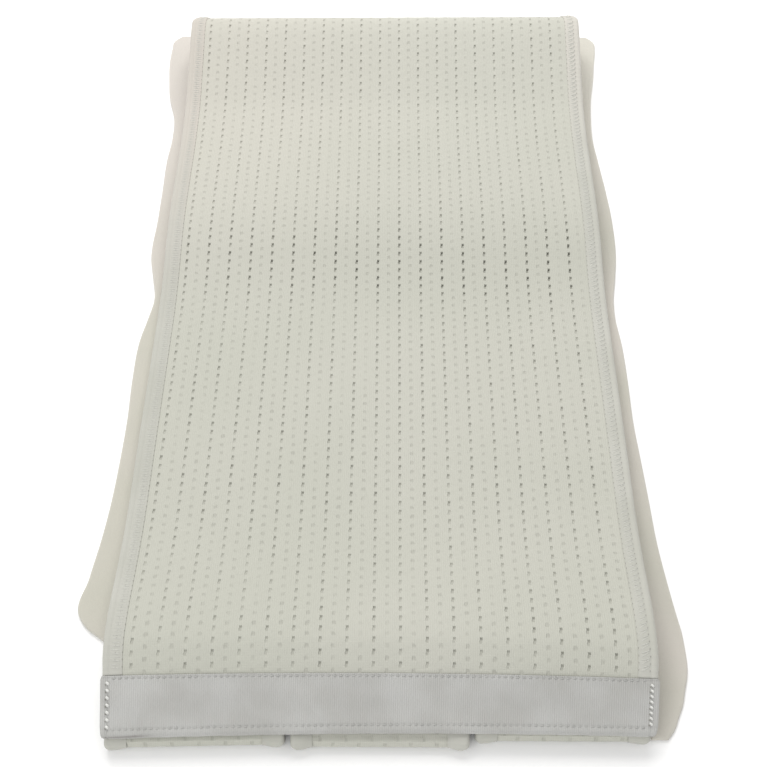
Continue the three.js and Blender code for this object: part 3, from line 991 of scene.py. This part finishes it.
# Shares of the panel's width between which its near end swings forward, and what its tip adds
swing_from = 0.932
swing_to = 0.97
swing_tip = 1.2
panel_front = (run_start + panel_front_setback - panel_near) / panel_length
panel_front_left = (band_offset - panel_corner_inset) / panel_overhang - 0.01


def panel_edges(along):
    """How far the panel reaches left and right of the middle at each share of its length."""
    far_corner = (1.0, far_corner_share)
    left_table = np.vstack([(panel_front, panel_front_left), panel_table[:, :2], far_corner])
    right_table = np.vstack([corner_table, panel_table[:, (0, 2)], far_corner])
    left = smooth_curve(left_table[:, 0], left_table[:, 1], np.clip(along, panel_front, 1))
    right = smooth_curve(right_table[:, 0], right_table[:, 1], np.clip(along, corner_table[0, 0], 1))
    return (-(band_width / 2 + panel_overhang * left), band_width / 2 + panel_overhang * right)


def panel_finish():
    """Short brushed pile: a fine nap in the bump, with slow pinkish and greyish patches."""
    graph = Graph("brushed_cloth", Roughness=0.95, Sheen_Weight=0.3, Specular_IOR_Level=0.15)
    place = graph.object_place()
    nap = graph.noise(place, 1400.0, 4.0)
    patches = graph.noise(place, 14.0).step(0.3, 0.7)
    base = graph.mix(patches, (0.505, 0.497, 0.43, 1), (0.57, 0.54, 0.492, 1))
    # Paler along the far end with painted light, rosy in the far left corner.
    far_lit_tinted = graph.painted_far_light_and_rosy_corner(base, (0.64, 0.62, 0.555, 1), (0.61, 0.57, 0.535, 1))
    colour = graph.mix(nap * 0.25, far_lit_tinted, (0.41, 0.39, 0.35, 1))
    return graph.finish(colour, nap * 0.8 + graph.noise(place, 300.0) * 0.5, 0.16 * MM)


def landing_panel():
    """Top and underside as two grids between the panel's edges, joined round the rim. Across runs from
    0 at the left edge to 1 at the right, and the near end swings forward beside the tabs."""
    rim = 0.5 - 0.5 * np.cos(np.linspace(0, math.pi, 121))
    across = np.unique(np.concatenate([rim, np.linspace(0.90, 1.0, 24)]))
    along = 0.5 - 0.5 * np.cos(np.linspace(0.0, math.pi, 181))
    swing = np.clip((across - swing_from) / (swing_to - swing_from), 0, 1)
    front = panel_front - (panel_front - corner_table[0, 0]) * swing ** 2 * (3 - 2 * swing)
    share = front[None, :] + (1 - front[None, :]) * along[:, None]
    left, right = panel_edges(share)
    x = left + (right - left) * across[None, :]
    y = panel_near + share * panel_length - swing_tip * swing * np.clip(1 - share / 0.05, 0, 1)
    from_side = np.minimum(x - left, right - x)
    from_end = np.minimum(share - front[None, :], 1 - share) * panel_length
    inset = np.clip(np.minimum(from_side, from_end) / panel_rim, 0, 1)
    rounding = np.sqrt(np.clip(1 - (1 - inset) ** 2, 0, 1))
    wave = 0.12 * np.sin(y / 17.0 + 1.3 * np.sin(y / 41.0)) * np.exp(-(from_side / 14.0) ** 2)
    thick = panel_thickness * (0.45 + 0.55 * rounding) + wave * rounding
    thin = panel_thickness * 0.35 * (1 - rounding)
    rows, columns = x.shape
    top = np.stack([x, y, thick], axis=2).reshape(-1, 3)
    under = np.stack([x, y, thin], axis=2).reshape(-1, 3)
    first = rows * columns
    faces = grid_faces(rows, columns).tolist() + grid_faces(rows, columns, first, True).tolist()
    loop = np.concatenate([np.arange(columns), np.arange(1, rows) * columns + columns - 1,
                           (rows - 1) * columns + np.arange(columns - 2, -1, -1),
                           np.arange(rows - 2, 0, -1) * columns])
    after = np.roll(loop, -1)
    faces += np.stack([after, loop, loop + first, after + first], axis=1).tolist()
    return piece("brushed_panel", np.vstack([top, under]), faces, panel_finish(),
                 ["landing_panel"])


panel = landing_panel()
